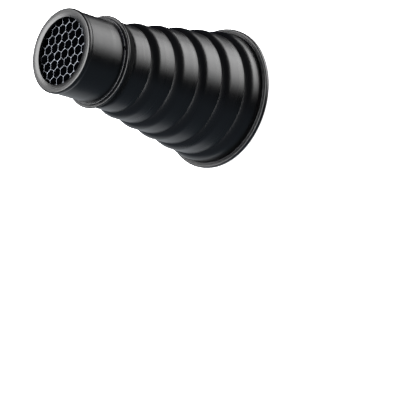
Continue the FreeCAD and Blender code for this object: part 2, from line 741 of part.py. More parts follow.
def felt_band():
    """The felt band glued round the tube's tail, which grips the neck's bore."""
    rear = total(TUBE_TAIL, "felt_setback")
    front = total(rear, "felt_length")
    return plain_ring("felt_band", cell("tube_radius"), FELT_RADIUS, rear, front)


def front_spacer():
    """The ring that sets the honeycomb back from the front face."""
    inner = total(OPENING_RADIUS, "spacer_setback")
    return plain_ring("front_spacer", inner, TUBE_BORE, HOOP_FRONT, FACE_BACK)


def core_hoop():
    """The channel of thin sheet that holds the honeycomb's edge."""
    lip = less(HOOP_RADIUS, "hoop_lip")
    corners = [
        (lip, HOOP_REAR),
        (HOOP_RADIUS, HOOP_REAR),
        (HOOP_RADIUS, HOOP_FRONT),
        (lip, HOOP_FRONT),
        (lip, CORE_FRONT),
        (CORE_RADIUS, CORE_FRONT),
        (CORE_RADIUS, CORE_REAR),
        (lip, CORE_REAR),
    ]
    body = new_body("core_hoop")
    revolve(body, outline(flat_sketch(body, "section", "XZ_Plane"), corners))
    return body


def core_washer():
    """The flat washer between the hoop and the snap ring."""
    inner = less(HOOP_RADIUS, "washer_width")
    return plain_ring("core_washer", inner, HOOP_RADIUS, WASHER_REAR, HOOP_REAR)


def core_snap_ring():
    """The round-wire snap ring in the tube's inner groove, open by its gap."""
    body = new_body("core_snap_ring")
    sketch = flat_sketch(body, "wire", "XZ_Plane")
    circle_at(sketch, SNAP_CIRCLE, SNAP_CENTRE, cell("snap_wire"))
    revolve(body, sketch, angle=less(str(FULL_TURN), "snap_gap"))
    return body


def hexagon(centre, across_flats, turn):
    """A flat hexagonal face whose flats look along turn and every sixth of a turn from it."""
    reach = across_flats / (2 * COS_30)
    corners = []
    for side in range(HEX_SIDES + 1):
        towards = Rotation(Z_AXIS, turn + HEX_ANGLE * (side + HALF))
        corners.append(centre + towards.multVec(Vector(reach, 0, 0)))
    return Part.Face(Part.makePolygon(corners))


def round_face(radius):
    """A flat disc about the axis."""
    return Part.Face(Part.Wire(Part.Circle(Vector(), Z_AXIS, radius).toShape()))


def honeycomb_core():
    """The honeycomb: one face with every cell cut out of it, made as deep as the core.

    The cells at the edge are cut short by the foil band, so no pattern of one cell makes them.
    """
    pitch, turn = value_of(cell("cell_pitch")), value_of(cell("cell_turn"))
    radius, rim = value_of(CORE_RADIUS), value_of(cell("core_rim"))
    middle = Vector(value_of(cell("cell_shift_x")), value_of(cell("cell_shift_y")), 0)
    inside = round_face(radius - rim)
    along = Rotation(Z_AXIS, turn).multVec(Vector(pitch, 0, 0))
    aslant = Rotation(Z_AXIS, turn + HEX_ANGLE).multVec(Vector(pitch, 0, 0))
    span = int(2 * radius / pitch)
    flats = pitch - value_of(cell("cell_wall"))
    least_area = value_of(cell("cell_wall")) ** 2
    cells = []
    for row in range(-span, span + 1):
        for place in range(-span, span + 1):
            centre = middle + along * place + aslant * row
            if centre.Length > radius + pitch:
                continue
            opening = hexagon(centre, flats, turn).common(inside)
            if opening.Area > least_area:
                cells.append(opening)
    plate = round_face(radius).cut(cells)
    core = FreeCAD.ActiveDocument.addObject("Part::Feature", "honeycomb_core")
    core.Label = "honeycomb_core"
    core.Shape = plate.extrude(Z_AXIS * value_of(cell("core_depth")))
    core.Placement = Placement(Vector(0, 0, value_of(CORE_REAR)), Rotation())
    return core


def check(doc, parts):
    """Stops with the names of whatever failed to build."""
    failed = [item.Name for item in doc.Objects if {"Invalid", "Error"} & set(item.State)]
    for part in parts:
        if part.Shape.isNull() or not part.Shape.isValid() or not part.Shape.Solids:
            failed.append(part.Label)
    if failed:
        raise RuntimeError("not built: " + ", ".join(failed))


def main():
    """Builds the document and writes one STEP file for each sub-part."""
    doc = FreeCAD.newDocument(DOCUMENT_NAME)
    fill_sheet(doc)
    parts = [
        cone_shell(),
        rim_binding(),
        back_plate(),
        plate_gasket(),
        bayonet_ring(),
        *[leaf_spring(number) for number in range(LUG_COUNT)],
        spring_screws(),
        bayonet_screws(),
        neck_collar(),
        collar_screws(),
        stop_ring(),
        grid_tube(),
        felt_band(),
        front_spacer(),
        core_hoop(),
        core_washer(),
        core_snap_ring(),
        honeycomb_core(),
    ]
    doc.recompute()
    check(doc, parts)
    os.makedirs("parts", exist_ok=True)
    for part in parts:
        part.Shape.exportStep(f"parts/{part.Label}.step")
        box = part.Shape.BoundBox
        print(
            f"{part.Label:18s} solids {len(part.Shape.Solids)} volume {part.Shape.Volume:9.2f}"
            f" z {box.ZMin:7.2f} to {box.ZMax:7.2f} width {box.XLength:6.2f}"
        )


main()
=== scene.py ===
"""The looks of a ribbed metal snoot with a honeycomb grid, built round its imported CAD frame.

Sizes in the classes are millimetres; meshes are metres, in the frame's own axes: the snoot
stands on its rear rim, +Z runs along its axis to the front and -Y faces the camera.
"""

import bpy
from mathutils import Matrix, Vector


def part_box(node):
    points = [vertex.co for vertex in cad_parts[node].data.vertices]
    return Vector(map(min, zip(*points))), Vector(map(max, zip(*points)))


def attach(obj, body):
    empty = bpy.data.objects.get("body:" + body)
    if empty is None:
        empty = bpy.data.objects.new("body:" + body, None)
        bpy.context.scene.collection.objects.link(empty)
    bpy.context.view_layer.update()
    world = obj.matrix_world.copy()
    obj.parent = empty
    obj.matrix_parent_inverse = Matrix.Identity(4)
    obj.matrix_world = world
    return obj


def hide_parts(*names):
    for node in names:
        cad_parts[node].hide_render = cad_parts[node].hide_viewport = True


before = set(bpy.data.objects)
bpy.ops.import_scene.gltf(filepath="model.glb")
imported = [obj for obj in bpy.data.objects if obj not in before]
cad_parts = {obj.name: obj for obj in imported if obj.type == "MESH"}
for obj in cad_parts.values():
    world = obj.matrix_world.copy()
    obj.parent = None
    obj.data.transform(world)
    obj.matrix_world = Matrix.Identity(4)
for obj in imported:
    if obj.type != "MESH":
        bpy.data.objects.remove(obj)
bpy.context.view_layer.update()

import logging
import math
from collections.abc import Callable, Sequence
from dataclasses import dataclass, field
from enum import Enum

import bpy
import numpy as np
from mathutils import Matrix, Vector

LOG = logging.getLogger("snoot")
MM = 0.001
TURN = 2.0 * math.pi
ROUND_SEGMENTS = 256
SHEET_WALL = 0.9
FELT_ROOM = 0.08
CELL_SIDES = 6
CELL_POINTS = 3 * CELL_SIDES
WIRE_SIDES = 20
# a corner whose half angle is above this is as good as straight, and stays sharp
NEARLY_STRAIGHT = 1.55
# the most of an edge that one corner's rounding may take
EDGE_SHARE = 0.45
Corner = tuple[float, ...]
Array = np.ndarray
Socket = bpy.types.NodeSocket


class Body(str, Enum):
    """The CAD bodies that pieces ride on."""

    SNOOT = "snoot_body"
    STOP = "stop_ring"
    GRID = "grid_cartridge"


class Slot(str, Enum):
    """The record's material slots."""

    SHELL = "black_shell"
    PLATE = "black_plate"
    CAST = "cast_ring"
    SPRING = "spring_steel"
    SCREW = "screw_steel"
    FIBRE = "fibre"
    FELT = "felt"
    FOIL = "foil"


# ---------------------------------------------------------------- measures taken from the frame


def foot(node: str) -> float:
    """The lowest height of a CAD node, in millimetres."""
    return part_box(node)[0].z / MM


def head(node: str) -> float:
    """The highest height of a CAD node, in millimetres."""
    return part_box(node)[1].z / MM


def reach(node: str) -> float:
    """The outer radius of a round CAD node, in millimetres."""
    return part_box(node)[1].x / MM


def bore(node: str) -> float:
    """The smallest radius that a CAD node's points reach, in millimetres."""
    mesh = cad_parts[node].data
    flat = np.zeros(3 * len(mesh.vertices))
    mesh.vertices.foreach_get("co", flat)
    return float(np.hypot(flat[0::3], flat[1::3]).min()) / MM


# ---------------------------------------------------------------- surfaces


def rounded(corners: Sequence[Corner], steps: int = 6, hold: float = 0.15) -> Array:
    """A closed outline whose corners are rounded by arcs that touch both of their edges.

    At each corner the arc's centre lies on the bisector, at radius / sin(half the angle), and
    its points turn evenly from one touching point to the other. A point is held on each edge
    close to the arc, so that the flat beside it stays flat when it is shaded smooth.

    Args:
        corners: (radius, height) or (radius, height, rounding) of each corner.
        steps: edges in each arc.
        hold: distance from an arc to the point held beside it.

    Returns:
        The outline's points, one row each, in the corners' units.
    """
    points = np.array([corner[:2] for corner in corners], float)
    outline = []
    for index, corner in enumerate(corners):
        here = points[index]
        back = points[index - 1] - here
        ahead = points[(index + 1) % len(points)] - here
        back_length, ahead_length = np.linalg.norm(back), np.linalg.norm(ahead)
        back, ahead = back / back_length, ahead / ahead_length
        half = math.acos(float(np.clip(back @ ahead, -1.0, 1.0))) / 2.0
        if len(corner) < 3 or half > NEARLY_STRAIGHT:
            outline.append(here[None, :])
            continue
        room = EDGE_SHARE * min(back_length, ahead_length)
        touch = min(corner[2] / math.tan(half), room)
        bisector = (back + ahead) / np.linalg.norm(back + ahead)
        centre = here + bisector * touch / math.cos(half)
        start, finish = here + back * touch, here + ahead * touch
        sweep = math.pi - 2.0 * half
        share = np.linspace(0.0, 1.0, steps + 1)[:, None]
        arc = centre + (
            np.sin((1.0 - share) * sweep) * (start - centre)
            + np.sin(share * sweep) * (finish - centre)
        ) / math.sin(sweep)
        before = start + back * min(hold, (back_length - touch) / 4.0)
        after = finish + ahead * min(hold, (ahead_length - touch) / 4.0)
        outline.append(np.vstack([before, arc, after]))
    return np.vstack(outline)


def new_piece(name: str, vertices: Array, faces: list, smooth: bool = True) -> bpy.types.Object:
    """A mesh object at the origin.

    Args:
        name: the piece's name.
        vertices: points in millimetres, one row each.
        faces: lists of vertex numbers, in order, seen from outside.
        smooth: shade the faces smooth.

    Returns:
        The object, linked to the scene.
    """
    mesh = bpy.data.meshes.new(name)
    mesh.from_pydata((np.asarray(vertices, float) * MM).tolist(), [], faces)
    mesh.polygons.foreach_set("use_smooth", np.full(len(mesh.polygons), smooth))
    mesh.validate()
    mesh.update()
    piece = bpy.data.objects.new(name, mesh)
    bpy.context.scene.collection.objects.link(piece)
    return piece


def lathe(
    name: str,
    outline: Array,
    segments: int = ROUND_SEGMENTS,
    start: float = 0.0,
    sweep: float = TURN,
    ripple: Callable[[Array, Array], Array] | None = None,
) -> bpy.types.Object:
    """A closed outline carried round the Z axis.

    Point (radius, height) at angle a goes to (radius cos a, radius sin a, height). A sweep
    short of a full turn gets a flat cap at each end.

    Args:
        name: the piece's name.
        outline: closed outline of (radius, height), in millimetres.
        segments: steps round the turn.
        start: first angle, in radians.
        sweep: angle covered, in radians.
        ripple: radial offset as a function of the angle and the height.

    Returns:
        The piece.
    """
    after = np.roll(outline, -1, axis=0)
    area = np.sum(outline[:, 0] * after[:, 1] - after[:, 0] * outline[:, 1])
    if area < 0.0:
        outline = outline[::-1]
    whole = abs(sweep - TURN) < 1e-6
    rings = segments if whole else segments + 1
    angle = (start + sweep * np.arange(rings) / segments)[None, :]
    radius, height = outline[:, :1], outline[:, 1:]
    if ripple is not None:
        radius = radius + ripple(angle, height)
    height = height + 0.0 * angle
    grid = np.stack([radius * np.cos(angle), radius * np.sin(angle), height], axis=-1)
    count = len(outline)
    along, around = np.meshgrid(np.arange(count), np.arange(segments), indexing="ij")
    next_along, next_around = (along + 1) % count, (around + 1) % rings
    quads = np.stack(
        [
            along * rings + around,
            along * rings + next_around,
            next_along * rings + next_around,
            next_along * rings + around,
        ],
        axis=-1,
    )
    faces = quads.reshape(-1, 4).tolist()
    if not whole:
        ends = np.arange(count) * rings
        faces += [ends.tolist(), (ends + rings - 1)[::-1].tolist()]
    return new_piece(name, grid.reshape(-1, 3), faces)


def ring_section(inner: float, outer: float, low: float, high: float, edge: float) -> Array:
    """A rectangular section with all four corners rounded alike."""
    return rounded(
        [(inner, low, edge), (outer, low, edge), (outer, high, edge), (inner, high, edge)]
    )


def node_section(node: str, edge: float) -> Array:
    """The rounded rectangular section of a plain round CAD node."""
    return ring_section(bore(node), reach(node), foot(node), head(node), edge)


def combine(piece: bpy.types.Object, tool: bpy.types.Object, operation: str) -> bpy.types.Object:
    """A piece after an exact boolean with a tool, which is removed.

    Args:
        piece: the closed mesh that is changed.
        tool: the closed mesh that cuts it.
        operation: INTERSECT, UNION or DIFFERENCE.

    Returns:
        The changed piece.
    """
    modifier = piece.modifiers.new("combine", "BOOLEAN")
    modifier.operation = operation
    modifier.solver = "EXACT"
    modifier.object = tool
    bpy.context.view_layer.update()
    shown = piece.evaluated_get(bpy.context.evaluated_depsgraph_get())
    mesh = bpy.data.meshes.new_from_object(shown)
    piece.modifiers.clear()
    piece.data = mesh
    bpy.data.objects.remove(tool)
    return piece


# ---------------------------------------------------------------- materials


def linear(colour: str) -> tuple[float, float, float, float]:
    """An sRGB hex colour as linear red, green, blue and alpha.

    Args:
        colour: the colour as #rrggbb.

    Returns:
        The linear colour, with full alpha.
    """
    values = [int(colour[place : place + 2], 16) / 255.0 for place in (1, 3, 5)]
    red, green, blue = [
        value / 12.92 if value <= 0.04045 else ((value + 0.055) / 1.055) ** 2.4 for value in values
    ]
    return red, green, blue, 1.0


def per_mm(size: float) -> float:
    """The texture scale whose features are `size` millimetres across."""
    return 1.0 / (size * MM)


class Graph:
    """The nodes of one material or world."""

    def __init__(self, owner: bpy.types.Material | bpy.types.World) -> None:
        """Empties the owner's nodes."""
        self.owner = owner
        owner.use_nodes = True
        self.tree = owner.node_tree
        self.tree.nodes.clear()

    def add(
        self, kind: str, inputs: dict | None = None, output: int | str | None = 0, **settings
    ) -> Socket | None:
        """Adds a node with its settings and links.

        Args:
            kind: the node's type.
            inputs: for each input, a socket to link or the value to set.
            output: which output is returned.
            settings: the node's own properties.

        Returns:
            The output socket, or None where no output is asked for.
        """
        node = self.tree.nodes.new(kind)
        for name, value in settings.items():
            setattr(node, name, value)
        for key, value in (inputs or {}).items():
            if isinstance(value, Socket):
                self.tree.links.new(value, node.inputs[key])
            else:
                node.inputs[key].default_value = value
        return None if output is None else node.outputs[output]

    def close(self, finish: "Finish", **sockets: Socket) -> bpy.types.Material:
        """Ends the graph in a principled shader.

        Args:
            finish: gives the even values.
            sockets: inputs that vary over the surface, by name with _ for a space.

        Returns:
            The finished material.
        """
        values = {
            "Base Color": linear(finish.colour),
            "Roughness": finish.roughness,
            "Metallic": finish.metallic,
            "IOR": finish.ior,
            "Sheen Weight": finish.sheen,
        }
        values |= {name.replace("_", " "): socket for name, socket in sockets.items()}
        shader = self.add("ShaderNodeBsdfPrincipled", values)
        self.add("ShaderNodeOutputMaterial", {"Surface": shader}, None)
        return self.owner


def turning_marks(graph: Graph, spacing: float, drift: float) -> Socket:
    """Fine rings round the axis, as a lathe or a spinning roller leaves them.

    The noise is stretched: it changes over `spacing` along radius plus height, and only over
    `drift` across the axis.

    Args:
        graph: the material's nodes.
        spacing: distance between marks, in millimetres.
        drift: length over which one mark changes, in millimetres.

    Returns:
        The noise's value.
    """
    place = graph.add("ShaderNodeTexCoord", output="Object")
    flat = graph.add("ShaderNodeVectorMath", {0: place, 1: (1.0, 1.0, 0.0)}, operation="MULTIPLY")
    radius = graph.add("ShaderNodeVectorMath", {0: flat}, "Value", operation="LENGTH")
    height = graph.add("ShaderNodeSeparateXYZ", {0: place}, "Z")
    along = graph.add("ShaderNodeMath", {0: radius, 1: height}, operation="ADD")
    fast = graph.add("ShaderNodeMath", {0: along, 1: per_mm(spacing)}, operation="MULTIPLY")
    slow = graph.add("ShaderNodeVectorMath", {0: flat, "Scale": per_mm(drift)}, operation="SCALE")
    rise = graph.add("ShaderNodeCombineXYZ", {"Z": fast})
    vector = graph.add("ShaderNodeVectorMath", {0: slow, 1: rise}, operation="ADD")
    return graph.add("ShaderNodeTexNoise", {"Vector": vector, "Scale": 1.0, "Detail": 2.0})


@dataclass(frozen=True)
class Finish:
    """One finish: what the surface is made of and how it was made."""

    name: str
    colour: str
    shade: str
    roughness: float
    metallic: float = 0.0
    ior: float = 1.5
    sheen: float = 0.0

    def material(self) -> bpy.types.Material:
        """The finish as a material."""
        raise NotImplementedError

    def noise(self, graph: Graph, size: float, detail: float = 3.0) -> Socket:
        """Even noise, spread over 0 to 1, whose features are about `size` millimetres across."""
        place = graph.add("ShaderNodeTexCoord", output="Object")
        values = {"Vector": place, "Scale": per_mm(size), "Detail": detail}
        value = graph.add("ShaderNodeTexNoise", values)
        return graph.add("ShaderNodeMapRange", {"Value": value, "From Min": 0.3, "From Max": 0.7})


@dataclass(frozen=True)
class SpunLacquer(Finish):
    """Black satin lacquer on spun or turned aluminium.

    The eye sees a deep black with broad, slightly streaked highlights: the roller's rings show
    through the thin coat, and the coat itself has a faint orange peel. The rings of a finer
    tool would be too small to show, so they are drawn 0.5 mm apart.
    """

    mark_spacing: float = 0.5
    mark_depth: float = 0.0007
    peel_size: float = 0.9
    peel_depth: float = 0.0005

    def material(self) -> bpy.types.Material:
        """Rings and peel as relief, clouds in the coat's colour, broad rings in its gloss."""
        graph = Graph(bpy.data.materials.new(self.name))
        marks = turning_marks(graph, self.mark_spacing, 45.0)
        bands = turning_marks(graph, 7.0 * self.mark_spacing, 160.0)
        peel = self.noise(graph, self.peel_size)
        relief = graph.add("ShaderNodeBump", {"Height": peel, "Distance": self.peel_depth * MM})
        layer = {"Height": marks, "Distance": self.mark_depth * MM, "Normal": relief}
        relief = graph.add("ShaderNodeBump", layer)
        clouds = self.noise(graph, 22.0, 4.0)
        mix = {0: clouds, 6: linear(self.colour), 7: linear(self.shade)}
        colour = graph.add("ShaderNodeMix", mix, 2, data_type="RGBA")
        gloss = {
            "Value": bands,
            "From Min": 0.3,
            "From Max": 0.7,
            "To Min": self.roughness - 0.03,
            "To Max": self.roughness + 0.03,
        }
        rough = graph.add("ShaderNodeMapRange", gloss)
        return graph.close(self, Base_Color=colour, Roughness=rough, Normal=relief)


@dataclass(frozen=True)
class GrainyCoat(Finish):
    """A coat or a sheet whose texture is an even grain: baked paint, pressed fibre, wool felt.

    The eye sees a dull surface whose grain sparkles or mottles where the light grazes it.
    """

    grain_size: float = 0.35
    grain_depth: float = 0.02
    detail: float = 2.0

    def material(self) -> bpy.types.Material:
        """Grain as relief and as colour, with more gloss on its high places."""
        graph = Graph(bpy.data.materials.new(self.name))
        texture = self.noise(graph, self.grain_size, self.detail)
        mottle = self.noise(graph, 12.0 * self.grain_size, 4.0)
        blend = graph.add("ShaderNodeMath", {0: texture, 1: mottle}, operation="MULTIPLY")
        mix = {0: blend, 6: linear(self.colour), 7: linear(self.shade)}
        colour = graph.add("ShaderNodeMix", mix, 2, data_type="RGBA")
        gloss = {"Value": texture, "To Min": self.roughness + 0.06, "To Max": self.roughness - 0.06}
        rough = graph.add("ShaderNodeMapRange", gloss)
        relief = graph.add("ShaderNodeBump", {"Height": texture, "Distance": self.grain_depth * MM})
        return graph.close(self, Base_Color=colour, Roughness=rough, Normal=relief)


@dataclass(frozen=True)
class SlitFoil(Finish):
    """Black anodised aluminium foil, slit to depth after anodising.

    The eye sees near-black cell walls with pale cut edges, which draw the honeycomb's lines.
    """

    edge: str = "#505359"
    worn_edge: str = "#7d8188"
    edge_level: float = 0.9

    def material(self) -> bpy.types.Material:
        """Dark walls with rolling marks, and bare metal where a face looks along the axis."""
        graph = Graph(bpy.data.materials.new(self.name))
        normal = graph.add("ShaderNodeNewGeometry", output="True Normal")
        lean = graph.add("ShaderNodeSeparateXYZ", {0: normal}, "Z")
        level = graph.add("ShaderNodeMath", {0: lean}, operation="ABSOLUTE")
        cut = graph.add("ShaderNodeMath", {0: level, 1: self.edge_level}, operation="GREATER_THAN")
        wear = self.noise(graph, 1.1)
        mix = {0: wear, 6: linear(self.edge), 7: linear(self.worn_edge)}
        pale = graph.add("ShaderNodeMix", mix, 2, data_type="RGBA")
        clouds = self.noise(graph, 2.5)
        mix = {0: clouds, 6: linear(self.colour), 7: linear(self.shade)}
        dark = graph.add("ShaderNodeMix", mix, 2, data_type="RGBA")
        colour = graph.add("ShaderNodeMix", {0: cut, 6: dark, 7: pale}, 2, data_type="RGBA")
        gloss = {"Value": wear, "To Min": self.roughness - 0.05, "To Max": self.roughness + 0.1}
        rough = graph.add("ShaderNodeMapRange", gloss)
        crinkle = self.noise(graph, 0.6)
        relief = graph.add("ShaderNodeBump", {"Height": crinkle, "Distance": 0.006 * MM})
        return graph.close(self, Base_Color=colour, Roughness=rough, Normal=relief)


@dataclass(frozen=True)
class TurnedMetal(Finish):
    """Bare metal with the rings of a turning tool.

    The eye sees a soft metallic sheen broken by fine lines and faint stains.
    """

    mark_spacing: float = 0.3
    mark_depth: float = 0.003

    def material(self) -> bpy.types.Material:
        """Fine lines as relief, and light stains in the colour and the gloss."""
        graph = Graph(bpy.data.materials.new(self.name))
        marks = turning_marks(graph, self.mark_spacing, 25.0)
        stains = self.noise(graph, 6.0, 5.0)
        mix = {0: stains, 6: linear(self.shade), 7: linear(self.colour)}
        colour = graph.add("ShaderNodeMix", mix, 2, data_type="RGBA")
        gloss = {"Value": stains, "To Min": self.roughness + 0.1, "To Max": self.roughness - 0.04}
        rough = graph.add("ShaderNodeMapRange", gloss)
        relief = graph.add("ShaderNodeBump", {"Height": marks, "Distance": self.mark_depth * MM})
        return graph.close(self, Base_Color=colour, Roughness=rough, Normal=relief)


SHELL_FINISH = SpunLacquer("spun_black_lacquer", "#040405", "#08080a", 0.29)
TUBE_FINISH = SpunLacquer("turned_black_lacquer", "#040405", "#070708", 0.3, mark_spacing=0.4)
RIM_FINISH = SpunLacquer("rolled_black_lacquer", "#060607", "#0a0a0c", 0.34, mark_spacing=0.4)
STOP_FINISH = SpunLacquer("blackened_ring_steel", "#0d0e10", "#15161a", 0.25, mark_spacing=0.3)
PLATE_FINISH = GrainyCoat("textured_black_paint", "#0c0d0e", "#1b1c1f", 0.5)
FLOCK_FINISH = GrainyCoat("black_flock_tape", "#010101", "#040405", 0.94, grain_depth=0.06, detail=6.0)
FIBRE_FINISH = GrainyCoat("vulcanised_fibre", "#2c231e", "#45382f", 0.75, grain_size=0.6, detail=6.0)
FELT_FINISH = GrainyCoat(
    "black_wool_felt", "#0d0e10", "#26272b", 0.92, sheen=0.3, grain_depth=0.1, detail=8.0
)
FOIL_FINISH = SlitFoil("slit_anodised_foil", "#0b0c10", "#1d2028", 0.36, metallic=0.6)
CAST_FINISH = TurnedMetal("turned_cast_aluminium", "#b9babd", "#8b8c8f", 0.32, metallic=1.0)
SPRING_FINISH = TurnedMetal(
    "ground_spring_steel", "#b2b4b8", "#85878c", 0.24, metallic=1.0, mark_spacing=0.2
)
SCREW_FINISH = TurnedMetal("zinc_plated_steel", "#b4b6ba", "#8d8f93", 0.28, metallic=1.0)
BLACK_SCREW_FINISH = TurnedMetal("blackened_screw_steel", "#33353a", "#1c1d20", 0.35, metallic=1.0)


class Wardrobe:
    """Makes each finish's material once and dresses pieces in it."""

    def __init__(self) -> None:
        """Starts with no material made."""
        self.made: dict[str, bpy.types.Material] = {}

    def material(self, finish: Finish) -> bpy.types.Material:
        """The finish's material, made at its first use."""
        if finish.name not in self.made:
            self.made[finish.name] = finish.material()
        return self.made[finish.name]

    def dress(self, piece: bpy.types.Object, finish: Finish) -> None:
        """Gives a piece one material all over."""
        piece.data.materials.clear()
        piece.data.materials.append(self.material(finish))

    def dress_node(self, node: str, finish: Finish) -> None:
        """Gives a CAD node that stays in view the finish, in all of its material slots."""
        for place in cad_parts[node].material_slots:
            place.material = self.material(finish)


WARDROBE = Wardrobe()


def finish_piece(piece: bpy.types.Object, finish: Finish, body: Body, slot: Slot, *nodes: str) -> None:
    """Dresses a piece, puts it on its body and lets it stand for its CAD nodes."""
    WARDROBE.dress(piece, finish)
    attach(piece, body.value)
    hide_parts(*nodes)
    LOG.info("%s: %d faces", piece.name, len(piece.data.polygons))


# ---------------------------------------------------------------- the snoot's sub-assemblies


@dataclass
class SpunCone:
    """The spun cone with its six stepped ribs, its rear flange and its neck."""

    wall: float = SHEET_WALL
    ribs: int = 6
    first_crest: float = 10.15
    pitch: float = 17.95
    step_run: float = 6.3
    neck_run: float = 2.0
    neck_drop: float = 0.3
    flange_fillet: float = 0.5
    flange_width: float = 3.7
    valley_rounding: float = 0.12
    arc_points: int = 12
    land_holds: tuple[float, float] = (1.5, 0.5)
    wobble: float = 0.018
    rim: float = field(default_factory=lambda: reach("rim_binding"))
    neck: float = field(default_factory=lambda: reach("felt_band") + FELT_ROOM + SHEET_WALL)
    low: float = field(default_factory=lambda: foot("cone_shell"))
    high: float = field(default_factory=lambda: head("cone_shell"))

    def side(self, inset: float) -> list[Corner]:
        """One side of the sheet, from the flange to the neck's end.

        Each rib is a cylindrical land and then an arc that is level at the crest and falls by
        drop over run, so its radius is (run^2 + drop^2) / (2 drop). The inner side is the same
        line, parallel at the wall's thickness.

        Args:
            inset: 0 for the outer side, the wall's thickness for the inner one.

        Returns:
            The corners, in millimetres.
        """
        root = self.rim - self.flange_width
        last = self.neck + self.neck_drop
        lands = np.linspace(root, last, self.ribs)
        nexts = [*lands[1:], self.neck]
        line: list[Corner] = []
        for rib, (land, lower) in enumerate(zip(lands, nexts)):
            crest = self.first_crest + rib * self.pitch
            run = self.neck_run if rib == self.ribs - 1 else self.step_run
            drop = land - lower
            radius = (run * run + drop * drop) / (2.0 * drop)
            parallel = radius - inset
            end = math.acos(1.0 - drop / parallel)
            turns = np.linspace(0.0, end, self.arc_points)
            radii = land - inset - parallel * (1.0 - np.cos(turns))
            heights = crest + parallel * np.sin(turns)
            line += [(land - inset, crest - hold) for hold in self.land_holds]
            line += list(zip(radii, heights))
            line[-1] = (*line[-1], self.valley_rounding)
        return line

    def outline(self) -> Array:
        """The whole section of the sheet, closed."""
        flange = reach("cone_shell")
        root = self.rim - self.flange_width
        front = self.low + self.wall
        outer: list[Corner] = [
            (root - self.wall, self.low, 0.6),
            (flange, self.low, 0.1),
            (flange, front, 0.1),
            (root, front, self.flange_fillet),
        ]
        edge = [(self.neck, self.high, 0.15), (self.neck - self.wall, self.high, 0.15)]
        return rounded(outer + self.side(0.0) + edge + self.side(self.wall)[::-1], steps=4)

    def ripple(self, angle: Array, height: Array) -> Array:
        """The sheet's slight wander from round: a few slow lobes that shift along the axis."""
        slow = np.sin(3.0 * angle + 0.05 * height) + 0.6 * np.sin(5.0 * angle - 0.11 * height)
        fade = np.clip((height - self.first_crest) / self.pitch, 0.0, 1.0)
        fade = fade * np.clip((self.high - self.pitch - height) / self.pitch, 0.0, 1.0)
        return self.wobble * fade * slow

    def build(self) -> None:
        """Makes the cone and dresses it."""
        cone = lathe("spun_cone", self.outline(), ripple=self.ripple)
        finish_piece(cone, SHELL_FINISH, Body.SNOOT, Slot.SHELL, "cone_shell")


@dataclass
class RearRim:
    """The rolled rim that binds the cone's flange to the back plate, with its two fine lines."""

    rounding: float = 1.2
    groove_from_edge: float = 1.75
    groove_width: float = 0.6
    groove_depth: float = 0.3
    shoulder: float = 0.2
    edge: float = 0.25

    def build(self) -> None:
        """Makes the rim as one closed channel and dresses it."""
        outer, inner, front = reach("rim_binding"), bore("rim_binding"), head("rim_binding")
        sheets, plate_rear = reach("back_plate"), foot("back_plate")
        flange_front = foot("cone_shell") + SHEET_WALL
        groove, deep = outer - self.groove_from_edge, front - self.groove_depth
        corners = [
            (inner, 0.0, self.edge),
            (outer, 0.0, self.rounding),
            (outer, front, self.rounding),
            (groove, front, self.shoulder),
            (groove - self.shoulder, deep, 0.1),
            (groove - self.groove_width, deep, 0.1),
            (groove - self.groove_width - self.shoulder, front, self.shoulder),
            (inner, front, self.edge),
            (inner, flange_front),
            (sheets, flange_front),
            (sheets, plate_rear),
            (inner, plate_rear),
        ]
        rim = lathe("rolled_rim", rounded(corners, steps=8))
        finish_piece(rim, RIM_FINISH, Body.SNOOT, Slot.SHELL, "rim_binding")


@dataclass
class NeckCollar:
    """The collar round the neck: a rounded lip with a front wall, and a matt sleeve behind it."""

    sleeve_wall: float = 0.35
    lip_length: float = 1.7
    lip_rounding: float = 0.75
    lip_rear_rounding: float = 0.6
    edge: float = 0.12

    def build(self) -> None:
        """Makes the lip and the sleeve and dresses them."""
        low, high, outer = foot("neck_collar"), head("neck_collar"), reach("neck_collar")
        hole, neck_end = bore("neck_collar"), head("cone_shell")
        seat = hole + SHEET_WALL
        lip = high - self.lip_length
        corners = [
            (seat, lip),
            (outer, lip, self.lip_rear_rounding),
            (outer, high, self.lip_rounding),
            (hole, high, self.edge),
            (hole, neck_end, self.edge),
            (seat, neck_end),
        ]
        collar = lathe("neck_collar_lip", rounded(corners, steps=8))
        finish_piece(collar, SHELL_FINISH, Body.SNOOT, Slot.SHELL, "neck_collar")
        sleeve = lathe("collar_sleeve", ring_section(seat, seat + self.sleeve_wall, low, lip, self.edge))
        finish_piece(sleeve, FLOCK_FINISH, Body.SNOOT, Slot.SHELL)


@dataclass
class StopRing:
    """The split ring that stops the grid tube at the collar, open by a small gap."""

    rounding: float = 0.45
    gap: float = 4.0
    gap_at: float = -65.7

    def build(self) -> None:
        """Makes the ring and dresses it."""
        section = rounded(
            [
                (bore("stop_ring"), foot("stop_ring"), 0.1),
                (reach("stop_ring"), foot("stop_ring"), 0.2),
                (reach("stop_ring"), head("stop_ring"), self.rounding),
                (bore("stop_ring"), head("stop_ring"), 0.15),
            ]
        )
        start = math.radians(self.gap_at + self.gap / 2.0)
        ring = lathe("split_ring", section, start=start, sweep=math.radians(360.0 - self.gap))
        finish_piece(ring, STOP_FINISH, Body.STOP, Slot.SPRING, "stop_ring")


